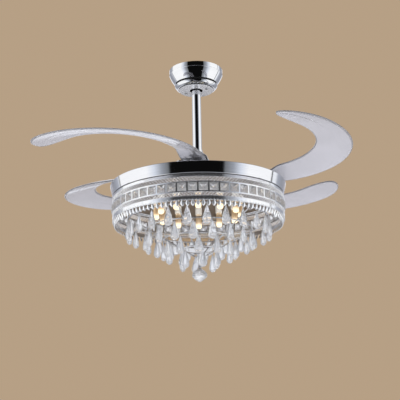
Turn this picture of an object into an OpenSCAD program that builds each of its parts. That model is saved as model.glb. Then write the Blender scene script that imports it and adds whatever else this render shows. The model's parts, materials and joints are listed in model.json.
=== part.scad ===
// Ceiling fan with a crystal lamp and four curved clear blades that swing in over the lamp when the motor stops.
// Z = 0 is the ceiling and everything hangs below it. Heights called "above the ring" are measured
// from the lower edge of the polished ring of the lamp.

/* [Ceiling fixing] */
// Width of the bracket's ceiling plate along X
bracket_len = 100; // [90:1:110]
// Depth of the bracket's ceiling plate along Y
bracket_depth = 66; // [64:1:80]
// Thickness of the bracket's steel
bracket_t = 3; // [2.5:0.5:4]
// Distance between the two ceiling screw slots
slot_spacing = 80; // [76:1:84]
// Width of a ceiling screw slot
slot_w = 6.5; // [5:0.5:8]
// Length of a ceiling screw slot, end to end
slot_len = 14; // [12:1:16]
// Diameter of the hanger ball
ball_d = 48; // [44:1:50]
// Ceiling to the centre of the hanger ball
ball_drop = 32; // [30:0.5:34]

/* [Canopy] */
// Outside diameter of the canopy at the ceiling
canopy_d = 156; // [150:1:164]
// Height of the canopy's bowl
canopy_h = 44; // [42:0.5:48]
// Outside diameter of the canopy's bowl at its foot
canopy_foot_d = 122; // [118:1:126]
// Height of the cover ring below the bowl
cover_h = 18; // [16:0.5:22]
// Diameter of the cover ring's flat bottom
cover_d = 103; // [98:1:108]
// Hole for the rod in the cover ring
cover_hole_d = 40; // [38:1:42]
// Thickness of the pressed sheet of the canopy and the cover
sheet_t = 1.5; // [1:0.1:2]

/* [Rod and coupling] */
// Outside diameter of the down rod
rod_d = 26; // [24:0.5:27]
// Wall of the down rod
rod_wall = 2.5; // [2:0.1:3]
// Length of the down rod
rod_len = 265; // [200:5:400]
// Diameter of the cross pins at both ends of the rod
pin_d = 8; // [6:0.5:9]
// Outside diameter of the bell-shaped coupling cover
bell_d = 64; // [60:1:70]
// Height of the coupling cover
bell_h = 43; // [41:1:46]
// Outside diameter of the coupling sleeve
sleeve_d = 34; // [33:0.5:36]

/* [Motor] */
// Height of the motor housing
motor_h = 41; // [39:0.5:42]
// Outside diameter of the hollow motor shaft
shaft_d = 22; // [20:0.5:23]
// Bore of the hollow motor shaft, for the lamp's wires
shaft_bore = 14; // [12:0.5:15]
// Outside diameter of the two ball bearings
bearing_d = 34; // [32:1:36]
// Height of a ball bearing
bearing_h = 8; // [7:0.5:9]
// Number of wound teeth on the stator
stator_teeth = 16; // [12:2:18]
// Thickness of the motor housing's wall
housing_t = 3; // [2.5:0.5:3.5]

/* [Blade gear] */
// Radius of the circle of blade pivots
pivot_r = 165; // [160:5:170]
// Angle a blade swings between open and shut
swing = 106; // [104:0.5:107]
// Angle of the first blade's pivot about the axis, seen from above
pivot_a = -16.5; // [-20:0.5:-12]
// Teeth that a full blade gear would have
blade_gear_z = 32; // [28:4:36]
// Width of the ring gear between its shoulder on the carrier and its pitch circle
sync_rim = 28; // [27:0.5:33]
// Height of the gears
gear_h = 6; // [5:0.5:6]
// Play between meshing teeth, on each flank
gear_play = 0.15; // [0.1:0.01:0.2]
// Thickness of the blade carrier plate
carrier_t = 3; // [2.5:0.5:4]
// Diameter of a blade's pivot pin
pivot_pin_d = 12; // [10:0.5:13]
// Outside diameter of a blade arm's hub
hub_d = 32; // [30:0.5:34]
// Thickness of a blade arm
arm_t = 4; // [3:0.5:4]
// Wire of a blade's return spring
spring_wire = 1.4; // [1:0.1:1.6]
// Turns of a blade's return spring
spring_turns = 3.5; // [2.5:1:3.5]

/* [Blades] */
// How far the circle that a shut blade's centre line follows lies outside the pivots
blade_offset = 41; // [39:0.5:43]
// Length of a blade past its pivot, as an angle about the axis when shut
blade_arc = 168.5; // [160:0.5:170]
// Length of a blade's root behind its pivot, as an angle
blade_root_arc = 8; // [7:0.5:8.5]
// Width of a blade's flat root
blade_root_w = 60; // [58:1:64]
// Greatest width of a blade
blade_w = 98; // [90:1:100]
// Length over which the tip is rounded
blade_tip_len = 106; // [80:1:120]
// Thickness of a blade
blade_t = 5; // [4:0.5:5]
// Rise of a blade from root to tip
blade_rise = 39; // [36:1:42]
// Slope of a blade across its width near the root
blade_pitch_root = 21; // [16:0.5:22]
// Slope of a blade across its width at the tip
blade_pitch_tip = 7; // [5:0.5:9]
// Crown of a blade across its width
blade_crown = 2.5; // [0:0.5:3]

/* [Lamp body] */
// Outside diameter of the polished ring at its top
ring_d = 500; // [490:1:510]
// Outside diameter of the polished ring at its foot
ring_foot_d = 486; // [484:0.5:490]
// Height of the polished ring
ring_h = 31; // [29:0.5:33]
// Thickness of the polished ring's metal
ring_t = 2; // [1.5:0.1:2.5]
// Outside diameter of the pierced bands
band_d = 486; // [480:1:488]
// Thickness of the pierced bands
band_t = 1.5; // [1:0.1:2]
// Height of the upper pierced band
upper_band_h = 24; // [22:0.5:26]
// Height of the band that holds the square stones
stone_band_h = 26; // [24:0.5:28]
// Height of the lower pierced band
lower_band_h = 22; // [20:0.5:24]
// Height of the fringe of petals
fringe_h = 16; // [12:0.5:18]
// Number of square stones around the band
stone_n = 54; // [48:6:54]
// Pierced diamonds for each stone
diamonds_per_stone = 3; // [2:1:3]
// Petals for each stone
petals_per_stone = 2; // [1:1:2]
// Width of a square stone
stone_w = 24.4; // [22:0.2:25]
// Height of a square stone
stone_h = 22.8; // [20:0.2:23]
// How far a square stone stands out past the band
stone_out = 4.5; // [3:0.5:6]
// Thickness of the lamp pan and the lamp plate
pan_t = 2; // [1.5:0.5:2.5]
// Number of bulbs
bulb_n = 12; // [8:2:12]
// Radius of the circle of bulbs
bulb_r = 120; // [115:1:125]
// Diameter of a bulb
bulb_d = 16; // [14:0.5:18]

/* [Hanging crystals] */
// Number of drops on the innermost ring, and how many each wider ring adds
drops_step = 6; // [4:1:6]
// Distance between one ring of drops and the next, outwards
tier_r_step = 50; // [48:0.5:51]
// Distance between one ring of drops and the next, downwards
tier_z_step = 28; // [26:0.5:30]
// Depth of the widest ring of drops below the polished ring
tier_z_first = 68; // [66:0.5:70]
// Length of a drop
drop_len = 51; // [46:0.5:54]
// Width of a drop
drop_w = 27; // [22:0.5:28]
// Length of a drop's hook
hook_len = 8; // [6:0.5:10]
// Diameter of the crystal frame's wire
frame_wire = 4; // [3:0.5:5]
// Diameter of the crystal ball at the foot
finial_d = 40; // [36:1:42]

/* [Hidden] */

$fn = 96;
running = 0.05;       // radial clearance of a shaft in its bore
gap = 0.4;            // clearance between pieces that pass each other
eps = 0.02;           // overshoot of a cutting shape
blades = 4;

// Ceiling end
ball_r = ball_d / 2;
ball_z = -ball_drop;
seat_gap = 0.1;
seat_hole_r = rod_d / 2 + 4;
cup_r = ball_r + 6;
cup_foot_z = ball_z - sqrt(ball_r * ball_r - seat_hole_r * seat_hole_r) - 3;
rod_r = rod_d / 2;
rod_above_ball = 12;
rod_top_z = ball_z + rod_above_ball;
pin_r = pin_d / 2;
ball_pin_len = 2 * sqrt(ball_r * ball_r - 8 * 8) - 2;
canopy_foot_z = -canopy_h - 0.5;
cover_z = canopy_foot_z - cover_h + 1;
cover_screw_r = (cover_hole_d + cover_d) / 4 - 1.5;
cover_screw_a = -28;
lug_h = 5;
key_w = 5;
key_in = 4.5;

// Stack above the ring, from the pan up to the rod
pan_top = ring_h - 3;
carrier_z = pan_top + 12;
motor_z = carrier_z + carrier_t;
gear_z = motor_z + 0.3;
arm_z = gear_z + gear_h;
blade_root_z = arm_z + arm_t;
motor_top = motor_z + motor_h;
sleeve_z = motor_top + 2;
shaft_top = sleeve_z + 12;
rod_foot = shaft_top + 4;
sleeve_top = rod_foot + 25;
sleeve_pin_z = rod_foot + 11;
bell_top = sleeve_top + 14;
lamp_z = rod_top_z - rod_len - rod_foot;
shaft_r = shaft_d / 2;
shaft_foot = pan_top - pan_t - 16;
collar_r = shaft_r + 5;
collar_h = 4;

// Ring gear and motor: the gear's shoulder stands round the motor
gear_module = 2.5;
sync_z = round((2 * pivot_r / gear_module - blade_gear_z) / 4) * 4;
sync_r = gear_module * sync_z / 2;
sync_turn = swing * blade_gear_z / sync_z;
boss_r = sync_r - sync_rim;
motor_r = boss_r - 12;
bearing_r = bearing_d / 2;
magnet_t = 6;
magnet_r = motor_r - housing_t - running;
stator_r = magnet_r - magnet_t - 0.8;
stator_z = motor_z + 11;
stator_h = 14;
coil_over = 4;
split_z = motor_z + 17;
seat_lip = 3;
lug_n = 6;
lug_r = motor_r + 3.4;

// Blade gear
boss_h = gear_h + 0.3 + gap;
stud_r = 3;
stud_circle = (boss_r + sync_r) / 2 - 1;
pivot_r_pin = pivot_pin_d / 2;
hub_r = hub_d / 2;
nut_h = 5;
washer_t = 1.2;
spring_r = hub_r - 5;
spring_pitch = spring_wire + 0.6;
spring_z = arm_z - 4.5;
spring_pocket_r = spring_r + spring_wire / 2 + 0.5;
spring_steps_per_turn = 8;
spring_core_r = (spring_r - spring_wire / 2) * cos(180 / spring_steps_per_turn) - 0.5;
carrier_arm_w = 44;
blade_r = pivot_r + blade_offset;

// Lamp
ring_r = ring_d / 2;
ring_foot_r = ring_foot_d / 2;
band_r = band_d / 2;
flange_r = band_r - 11;
neck_r = band_r - 4;
pan_r = ring_r - ring_t - 2.6;
plate_r = flange_r + 5;
stone_z = -upper_band_h - stone_band_h / 2;
lower_z = -upper_band_h - stone_band_h;
fringe_z = lower_z - lower_band_h;
socket_h = 22;
bulb_len = 42;
tier_n = 4;
tier_phase = [6.5, 14.5, -0.5, 11];
finial_eye_z = -tier_z_first - tier_n * tier_z_step - 18;

function tier_r(i) = tier_r_step * (tier_n - i);
function tier_z(i) = -tier_z_first - i * tier_z_step;
function tier_count(i) = drops_step * (tier_n - i);
function bezier(p0, p1, p2, n) = [for (i = [0:n]) let (t = i / n)
    (1 - t) * (1 - t) * p0 + 2 * t * (1 - t) * p1 + t * t * p2];
function shifted(points, dx, dy) = [for (p = points) [p[0] + dx, p[1] + dy]];
function reversed(list) = [for (i = [len(list) - 1:-1:0]) list[i]];
function smooth(x) = let (t = min(1, max(0, x))) t * t * (3 - 2 * t);

module at_lamp() { translate([0, 0, lamp_z]) children(); }
module around(n, phase = 0) { for (i = [0:n - 1]) rotate(phase + i * 360 / n) children(); }
module tube(r_out, r_in, h) {
    difference() {
        cylinder(r = r_out, h = h);
        translate([0, 0, -1]) cylinder(r = r_in, h = h + 2);
    }
}

// ---------------------------------------------------------------- ceiling end

module slot_2d(len, w) {
    square([len - w, w], center = true);
    for (s = [-1, 1]) translate([s * (len - w) / 2, 0]) circle(d = w, $fn = 32);
}

module bracket_plate() {
    corner = 8;
    translate([0, 0, -bracket_t]) linear_extrude(bracket_t) difference() {
        union() {
            square([bracket_len - 2 * corner, bracket_depth], center = true);
            square([bracket_len, bracket_depth - 2 * corner], center = true);
            for (x = [-1, 1], y = [-1, 1])
                translate([x * (bracket_len / 2 - corner), y * (bracket_depth / 2 - corner)]) circle(r = corner);
        }
        for (s = [-1, 1]) translate([s * slot_spacing / 2, 0]) slot_2d(slot_len, slot_w);
    }
}

// The cup holds the hanger ball. Its open side lets the ball in, and its key stops the ball from turning.
module hanger_bracket() color("gainsboro") {
    difference() {
        union() {
            bracket_plate();
            translate([0, 0, cup_foot_z]) cylinder(r = cup_r, h = -cup_foot_z - bracket_t + eps);
            for (a = [0, 180]) rotate(cover_screw_a + a) translate([cover_screw_r, 0, cup_foot_z])
                cylinder(r = 6, h = lug_h, $fn = 32);
        }
        translate([0, 0, ball_z]) sphere(r = ball_r + seat_gap, $fn = 96);
        translate([0, 0, ball_z]) cylinder(r = ball_r + seat_gap, h = ball_drop - bracket_t);
        translate([0, 0, cup_foot_z - 1]) cylinder(r = seat_hole_r, h = 20);
        translate([-seat_hole_r, 0, cup_foot_z - 1]) cube([2 * seat_hole_r, cup_r + 1, 30]);
        translate([-ball_r - 1, 0, ball_z - 4]) cube([2 * ball_r + 2, cup_r + 1, ball_drop + 4 - bracket_t]);
        translate([0, 0, -bracket_t - 1]) cylinder(r = 9, h = bracket_t + 2);
        for (a = [0, 180]) rotate(cover_screw_a + a)
            translate([cover_screw_r, 0, cup_foot_z - 1]) cylinder(r = 2 + running, h = lug_h + 2, $fn = 24);
    }
    translate([-key_w / 2, -ball_r - 1, cup_foot_z + 5]) cube([key_w, key_in + 1, 5]);
}

module canopy_bowl() color("silver") {
    r = canopy_d / 2;
    foot = [canopy_foot_d / 2, -canopy_h];
    outer = bezier([r - 1, -4], [r - 5.5, -canopy_h * 0.68], foot, 12);
    rotate_extrude() union() {
        polygon(concat(outer, [[foot[0] - 9, foot[1]], [foot[0] - 9, foot[1] + sheet_t]],
            reversed(shifted(outer, -sheet_t, sheet_t))));
        polygon([[r - sheet_t - 1, 0], [r, 0], [r + 0.6, -1.2], [r + 0.6, -2.6], [r - 0.4, -4], [r - sheet_t - 1, -4]]);
    }
}

module canopy_cover() color("silver") {
    top = canopy_foot_z + 0.5;
    outer = bezier([canopy_foot_d / 2 - 1, top - 1.2], [canopy_foot_d / 2 - 3.5, cover_z + 1.5], [cover_d / 2, cover_z], 10);
    inner = [for (i = [len(outer) - 1:-1:2]) outer[i] + [-sheet_t - 0.3, sheet_t]];
    difference() {
        rotate_extrude() polygon(concat([[canopy_foot_d / 2 - 6, top], [canopy_foot_d / 2 - 2, top]], outer,
            [[cover_hole_d / 2, cover_z], [cover_hole_d / 2, cover_z + sheet_t]],
            inner, [[canopy_foot_d / 2 - 6, top - sheet_t]]));
        for (a = [0, 180]) rotate(cover_screw_a + a) translate([cover_screw_r, 0, cover_z - 1])
            cylinder(r = 2.2, h = sheet_t + 2, $fn = 24);
    }
}

module canopy_screws() color("dimgray") for (a = [0, 180]) rotate(cover_screw_a + a)
    translate([cover_screw_r, 0, cover_z]) {
        cylinder(r = 2, h = cup_foot_z + lug_h - cover_z + 1, $fn = 24);
        difference() {
            translate([0, 0, -2]) cylinder(r = 4.2, h = 2, $fn = 32);
            translate([-3, -0.5, -2.5]) cube([6, 1, 1.5]);
            translate([-0.5, -3, -2.5]) cube([1, 6, 1.5]);
        }
    }

// ---------------------------------------------------------------- rod and coupling

module hanger_ball() color("dimgray") translate([0, 0, ball_z]) difference() {
    sphere(r = ball_r, $fn = 96);
    translate([0, 0, rod_above_ball + 2]) cylinder(r = ball_r, h = ball_r);
    translate([0, 0, -ball_r - 1]) cylinder(r = rod_r + running, h = 2 * ball_r + 2);
    translate([-ball_r - 1, 0, 0]) rotate([0, 90, 0]) cylinder(r = pin_r + running, h = 2 * ball_r + 2, $fn = 32);
    translate([-key_w / 2 - gap, -ball_r - 1, -ball_r]) cube([key_w + 2 * gap, key_in + 4, ball_r + 6]);
}

module cross_pin(len) rotate([0, 90, 0]) translate([0, 0, -len / 2]) cylinder(r = pin_r, h = len, $fn = 32);

module rod_pins() color("gray") {
    translate([0, 0, ball_z]) cross_pin(ball_pin_len);
    at_lamp() translate([0, 0, sleeve_pin_z]) cross_pin(sleeve_d + 6);
}

module down_rod() color("silver") difference() {
    translate([0, 0, rod_top_z - rod_len]) tube(rod_r, rod_r - rod_wall, rod_len);
    translate([-rod_r - 1, 0, ball_z]) rotate([0, 90, 0])
        cylinder(r = pin_r + running, h = rod_d + 2, $fn = 32);
    at_lamp() translate([-rod_r - 1, 0, sleeve_pin_z]) rotate([0, 90, 0])
        cylinder(r = pin_r + running, h = rod_d + 2, $fn = 32);
}

module coupling_cover() color("silver") at_lamp() {
    r = bell_d / 2;
    shoulder = bell_top - bell_h * 0.66;
    outer = bezier([rod_r + gap + sheet_t, bell_top], [rod_r + 5, bell_top - bell_h * 0.5], [r, shoulder], 12);
    rotate_extrude() polygon(concat([[rod_r + gap, bell_top]], outer,
        [[r + 0.8, shoulder - 1.5], [r + 0.8, bell_top - bell_h], [r + 0.8 - sheet_t, bell_top - bell_h],
         [r + 0.8 - sheet_t, shoulder - 1]],
        reversed(shifted(outer, -sheet_t, -0.4)), [[rod_r + gap, bell_top - 1.5]]));
}

module coupling_sleeve() color("dimgray") at_lamp() difference() {
    translate([0, 0, sleeve_z]) cylinder(r = sleeve_d / 2, h = sleeve_top - sleeve_z);
    translate([0, 0, rod_foot]) cylinder(r = rod_r + running, h = sleeve_top);
    translate([0, 0, sleeve_z - 1]) cylinder(r = shaft_r + running, h = shaft_top - sleeve_z + 1);
    translate([0, 0, sleeve_z]) cylinder(r = shaft_bore / 2, h = sleeve_top);
    translate([-sleeve_d, 0, sleeve_pin_z]) rotate([0, 90, 0])
        cylinder(r = pin_r + running, h = 2 * sleeve_d, $fn = 32);
    for (a = [90, 270]) rotate(a) translate([0, 0, sleeve_z + 6]) rotate([0, 90, 0])
        cylinder(r = 2.5, h = sleeve_d, $fn = 24);
}

// ---------------------------------------------------------------- motor

module motor_shaft() color("lightgray") at_lamp() difference() {
    union() {
        translate([0, 0, shaft_foot]) cylinder(r = shaft_r, h = shaft_top - shaft_foot);
        translate([0, 0, pan_top]) cylinder(r = collar_r, h = collar_h);
    }
    translate([0, 0, shaft_foot - 1]) cylinder(r = shaft_bore / 2, h = shaft_top);
}

module stator_2d() difference() {
    circle(r = stator_r);
    circle(r = shaft_r + running);
    around(stator_teeth, 180 / stator_teeth) {
        translate([stator_r - 10, 0]) circle(r = 7);
        translate([stator_r * 0.58, 0]) circle(r = 5);
        polygon([[stator_r * 0.58, -5], [stator_r - 10, -7], [stator_r - 10, 7], [stator_r * 0.58, 5]]);
        translate([stator_r - 5, -1.2]) square([8, 2.4]);
    }
}

module stator_core() color("slategray") at_lamp() translate([0, 0, stator_z])
    linear_extrude(stator_h) stator_2d();

module stator_coils() color("chocolate") at_lamp() around(stator_teeth) {
    inner = stator_r * 0.6;
    len = stator_r - 12 - inner;
    for (z = [stator_z - coil_over, stator_z + stator_h]) translate([inner, -4.5, z])
        cube([len, 9, coil_over]);
}

module housing_lug(z, h) around(lug_n, 30) translate([lug_r, 0, z]) cylinder(r = 4.5, h = h, $fn = 32);
module housing_holes(r) around(lug_n, 30) translate([lug_r, 0, motor_z - 1]) cylinder(r = r, h = motor_h, $fn = 24);

module motor_housing_lower() color("silver") at_lamp() difference() {
    union() {
        translate([0, 0, motor_z]) cylinder(r = motor_r, h = split_z - motor_z);
        housing_lug(split_z - 6, 6);
    }
    difference() {
        translate([0, 0, motor_z + housing_t]) cylinder(r = motor_r - housing_t, h = motor_h);
        translate([0, 0, motor_z]) cylinder(r = bearing_r + 4, h = seat_lip + bearing_h);
    }
    translate([0, 0, motor_z + seat_lip]) cylinder(r = bearing_r + running, h = motor_h);
    translate([0, 0, motor_z - 1]) cylinder(r = bearing_r - 3, h = motor_h);
    housing_holes(1.6);
    around(8, 22.5) translate([carrier_screw_r, 0, motor_z - 1]) cylinder(r = 2 + running, h = housing_t + 2, $fn = 24);
}

carrier_screw_r = motor_r - 14;

module motor_housing_upper() color("silver") at_lamp() {
    r = motor_r;
    dome = bezier([r, motor_top - 11], [r, motor_top - 3], [r - 26, motor_top - 1.5], 8);
    difference() {
        union() {
            rotate_extrude() polygon(concat([[0, split_z], [r, split_z]], dome,
                [[bearing_r + 6, motor_top], [0, motor_top]]));
            housing_lug(split_z, 7);
        }
        difference() {
            rotate_extrude() polygon(concat([[0, split_z - 1], [r - housing_t, split_z - 1]],
                shifted(dome, -housing_t, -housing_t), [[0, motor_top - 1.5 - housing_t]]));
            translate([0, 0, motor_top - seat_lip - bearing_h]) cylinder(r = bearing_r + 4, h = 20);
        }
        translate([0, 0, split_z - 1]) cylinder(r = bearing_r + running, h = motor_top - seat_lip - split_z + 1);
        translate([0, 0, split_z]) cylinder(r = bearing_r - 3, h = motor_h);
        translate([0, 0, -0.5]) housing_holes(1.6);
        around(16, 11.25) translate([r - 42, 0, motor_top - 8]) {
            translate([0, -1.5, 0]) cube([18, 3, 12]);
            for (x = [0, 18]) translate([x, 0, 0]) cylinder(r = 1.5, h = 12, $fn = 24);
        }
    }
}

module magnet_ring() color("dimgray") at_lamp() translate([0, 0, stator_z - 2])
    tube(magnet_r, magnet_r - magnet_t, stator_h + 4);

module motor_bearings() color("lightsteelblue") at_lamp()
    for (z = [motor_z + seat_lip, motor_top - seat_lip - bearing_h]) translate([0, 0, z]) difference() {
        tube(bearing_r, shaft_r + running, bearing_h);
        translate([0, 0, bearing_h - 1]) tube(bearing_r - 2, shaft_r + 2, 2);
        translate([0, 0, -1]) tube(bearing_r - 2, shaft_r + 2, 2);
    }

module motor_screws() color("gray") at_lamp() around(lug_n, 30) translate([lug_r, 0, split_z - 5]) {
    cylinder(r = 1.5, h = 12, $fn = 24);
    translate([0, 0, 12]) cylinder(r = 3, h = 2, $fn = 6);
}

// ---------------------------------------------------------------- blade gear

module at_pivot(i) at_lamp() rotate(pivot_a + i * 360 / blades) translate([pivot_r, 0, 0]) children();
// The frame of a blade: +X points away from the fan's axis when the blade is shut.
module at_blade(i) at_pivot(i) rotate(swing) children();

module carrier_2d() difference() {
    union() {
        circle(r = boss_r + 1);
        around(blades, pivot_a) {
            translate([0, -carrier_arm_w / 2]) square([pivot_r, carrier_arm_w]);
            translate([pivot_r, 0]) circle(r = carrier_arm_w / 2 + 2);
        }
        around(blades, stud_a) translate([boss_r - 4, -9]) square([stud_circle - boss_r + 13, 18]);
    }
    circle(r = motor_r - 40);
    around(blades, pivot_a) {
        translate([pivot_r, 0]) circle(r = pivot_r_pin + running);
        translate([(boss_r + pivot_r) / 2 + 4, 0]) circle(r = 11);
    }
    around(8, 22.5) translate([carrier_screw_r, 0]) circle(r = 2 + running, $fn = 24);
    around(blades, stud_a) translate([stud_circle, 0]) circle(r = stud_r + running, $fn = 32);
}

module blade_carrier() color("silver") at_lamp() {
    translate([0, 0, carrier_z]) linear_extrude(carrier_t) carrier_2d();
    translate([0, 0, motor_z - 1]) tube(boss_r, boss_r - 6, boss_h + 1);
}

stud_a = pivot_a + 45;

module carrier_screws() color("gray") at_lamp() around(8, 22.5) translate([carrier_screw_r, 0, carrier_z]) {
    cylinder(r = 2, h = carrier_t + housing_t - 0.5, $fn = 24);
    translate([0, 0, -2.5]) cylinder(r = 3.5, h = 2.5, $fn = 6);
}

module pivot_pins() color("lightgray") for (i = [0:blades - 1]) at_pivot(i) {
    translate([0, 0, carrier_z]) cylinder(r = pivot_r_pin, h = blade_root_z + gap + nut_h - carrier_z, $fn = 48);
    translate([0, 0, carrier_z - 3]) cylinder(r = pivot_r_pin + 4, h = 3, $fn = 48);
}

module pivot_nuts() color("silver") for (i = [0:blades - 1]) at_pivot(i)
    translate([0, 0, blade_root_z + gap]) difference() {
        union() {
            cylinder(r = hub_r - 3, h = washer_t, $fn = 48);
            translate([0, 0, washer_t]) cylinder(r = pivot_r_pin + 4.5, h = nut_h - washer_t, $fn = 6);
        }
        translate([0, 0, -1]) cylinder(r = pivot_r_pin + 0.02, h = nut_h + 2, $fn = 48);
    }

// A return spring is one wire: its turns climb steadily and its ends lie in the hub's pocket.
spring_steps = round(spring_turns * spring_steps_per_turn);
spring_step = 360 / spring_steps_per_turn;
spring_sides = 6;
function spring_centre(k) = let (a = k * spring_step)
    [spring_r * cos(a), spring_r * sin(a), k * spring_pitch / spring_steps_per_turn];
function spring_ring(k) = let (a = k * spring_step, c = spring_centre(k)) [for (j = [0:spring_sides - 1])
    let (b = j * 360 / spring_sides, d = spring_wire / 2 * cos(b))
    [c[0] + d * cos(a), c[1] + d * sin(a), c[2] + spring_wire / 2 * sin(b)]];
spring_gap = min([for (k = [0:spring_steps - spring_steps_per_turn])
    norm(spring_centre(k + spring_steps_per_turn) - spring_centre(k))]) - spring_wire;
echo(least_gap_between_spring_turns = spring_gap);

module coil_spring() polyhedron(
    points = [for (k = [0:spring_steps]) each spring_ring(k)],
    faces = concat(
        [[for (j = [0:spring_sides - 1]) j]],
        [for (k = [0:spring_steps - 1], j = [0:spring_sides - 1], half = [0, 1])
            let (a = k * spring_sides + j, b = k * spring_sides + (j + 1) % spring_sides)
            half == 0 ? [a, a + spring_sides, b] : [b, a + spring_sides, b + spring_sides]],
        [[for (j = [spring_sides - 1:-1:0]) spring_steps * spring_sides + j]]));

module return_springs() color("gray") for (i = [0:blades - 1]) at_pivot(i)
    translate([0, 0, spring_z + spring_wire / 2]) coil_spring();

module stop_studs() color("lightgray") at_lamp() around(blades, stud_a) translate([stud_circle, 0, carrier_z]) {
    cylinder(r = stud_r, h = boss_h + carrier_t + 0.4, $fn = 32);
    translate([0, 0, -2.5]) cylinder(r = stud_r + 2.5, h = 2.5, $fn = 32);
    translate([0, 0, boss_h + carrier_t]) cylinder(r = stud_r + 4, h = 2, $fn = 32);
}

// Tooth flanks follow the involute at three radii.
pressure_a = 20;
function inv_angle(r, base) = r <= base ? 0 : sqrt(r * r / (base * base) - 1) * 180 / PI - acos(base / r);
function half_tooth(r, z) = let (pitch = gear_module * z / 2, base = pitch * cos(pressure_a))
    90 / z + inv_angle(pitch, base) - inv_angle(r, base) - gear_play / pitch * 180 / PI;
function gear_radii(z) = let (p = gear_module * z / 2) [p - 1.25 * gear_module, p, p + 0.92 * gear_module];
function polar(r, a) = [r * cos(a), r * sin(a)];
function tooth(z, a) = let (rr = gear_radii(z)) concat(
    [for (r = rr) polar(r, a - half_tooth(r, z))],
    [for (r = reversed(rr)) polar(r, a + half_tooth(r, z))]);

module sync_slot_2d() {
    w = stud_r + gap;
    difference() {
        circle(r = stud_circle + w);
        circle(r = stud_circle - w);
        rotate(0.6) translate([-2 * sync_r, 0]) square([4 * sync_r, 2 * sync_r]);
        rotate(-sync_turn - 0.6) translate([-2 * sync_r, -2 * sync_r]) square([4 * sync_r, 2 * sync_r]);
    }
    for (a = [0.6, -sync_turn - 0.6]) rotate(a) translate([stud_circle, 0]) circle(r = w - 0.2, $fn = 32);
}

module sync_ring_gear() color("goldenrod") at_lamp() translate([0, 0, gear_z]) linear_extrude(gear_h) difference() {
    polygon([for (i = [0:sync_z - 1]) each tooth(sync_z, pivot_a + i * 360 / sync_z)]);
    circle(r = boss_r + running);
    around(blades, stud_a) sync_slot_2d();
}

// The blade gear is the part of a full wheel that meets the ring between shut and open.
gear_open_a = 180 - swing;
module blade_gear() {
    pitch_a = 360 / blade_gear_z;
    first = -2;
    last = ceil(swing / pitch_a) + 1;
    difference() {
        union() {
            translate([0, 0, gear_z]) linear_extrude(gear_h) polygon(concat(
                [for (i = [first:last]) each tooth(blade_gear_z, gear_open_a + (i + 0.5) * pitch_a)], [[0, 0]]));
            translate([0, 0, gear_z]) cylinder(r = hub_r + 5, h = gear_h);
        }
        translate([0, 0, gear_z - 1]) cylinder(r = hub_r + 0.02, h = gear_h + 2);
    }
}
module blade_gear_1() color("goldenrod") at_blade(0) blade_gear();
module blade_gear_2() color("goldenrod") at_blade(1) blade_gear();
module blade_gear_3() color("goldenrod") at_blade(2) blade_gear();
module blade_gear_4() color("goldenrod") at_blade(3) blade_gear();

// The arm: a hub round the pivot pin with a pocket for the spring, and a flat pad under the blade.
pad_x = blade_offset + blade_root_w / 2 - 6;
pad_w = 46;
screw_places = [for (p = [[-16, -14], [-16, 14], [14, -12], [14, 12]]) [blade_offset + p[0], p[1]]];
screw_r = 2.5;

module arm_2d() {
    circle(r = hub_r);
    polygon([[0, -hub_r], [18, -pad_w / 2], [pad_x - 8, -pad_w / 2], [pad_x - 8, pad_w / 2], [18, pad_w / 2], [0, hub_r]]);
    translate([pad_x - 10, 8 - pad_w / 2]) square([10, pad_w - 16]);
    for (s = [-1, 1]) translate([pad_x - 8, s * (pad_w / 2 - 8)]) circle(r = 8, $fn = 48);
}

module blade_arm() difference() {
    union() {
        translate([0, 0, arm_z]) linear_extrude(arm_t) arm_2d();
        translate([0, 0, gear_z]) cylinder(r = hub_r, h = gear_h + eps);
    }
    translate([0, 0, gear_z - 1]) cylinder(r = pivot_r_pin + running, h = 30, $fn = 48);
    translate([0, 0, spring_z]) tube(spring_pocket_r, spring_core_r, 20);
    for (p = screw_places) translate([p[0], p[1], arm_z - 1]) cylinder(r = screw_r + running, h = arm_t + 2, $fn = 24);
}
module blade_arm_1() color("silver") at_blade(0) blade_arm();
module blade_arm_2() color("silver") at_blade(1) blade_arm();
module blade_arm_3() color("silver") at_blade(2) blade_arm();
module blade_arm_4() color("silver") at_blade(3) blade_arm();

module blade_screws() for (p = screw_places) translate([p[0], p[1], arm_z + 0.5]) {
    cylinder(r = screw_r, h = arm_t + blade_t - 0.5, $fn = 24);
    translate([0, 0, arm_t + blade_t - 0.5]) cylinder(r = 4.2, h = 2, $fn = 32);
}
module blade_screws_1() color("gray") at_blade(0) blade_screws();
module blade_screws_2() color("gray") at_blade(1) blade_screws();
module blade_screws_3() color("gray") at_blade(2) blade_screws();
module blade_screws_4() color("gray") at_blade(3) blade_screws();

// ---------------------------------------------------------------- blades

// A blade is swept along a circle. a is the angle past the pivot, against the way the gear opens it.
blade_stations = 38;
root_stations = 3;
blade_pad_arc = 8;
section_u = [-0.5, -0.42, -0.2, 0.2, 0.42, 0.5];
section_t = [0.3, 1, 1, 1, 1, 0.3];
function station_a(i) = i < root_stations ? (i / root_stations) * (blade_root_arc + blade_pad_arc) - blade_root_arc
    : let (t = (i - root_stations) / (blade_stations - root_stations))
      blade_pad_arc + (blade_arc - blade_pad_arc) * (1 - pow(1 - t, 1.45));
function blade_s(a) = (a + blade_root_arc) / (blade_arc + blade_root_arc);
function body_w(a) = blade_root_w + (blade_w - blade_root_w) * (1 - pow(max(0, 1 - blade_s(a) / 0.6), 2.2))
    - 0.16 * blade_w * pow(max(0, blade_s(a) - 0.8) / 0.2, 2);
function tip_k(a) = let (t = max(0, 1 - (blade_arc - a) * PI / 180 * blade_r / blade_tip_len))
    sqrt(max(0.0004, 1 - pow(t, 2.2)));
function leaves_pad(a) = smooth((a - blade_pad_arc) / 18);
function blade_pitch(a) = leaves_pad(a) * (blade_pitch_root + (blade_pitch_tip - blade_pitch_root) * blade_s(a));
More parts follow.
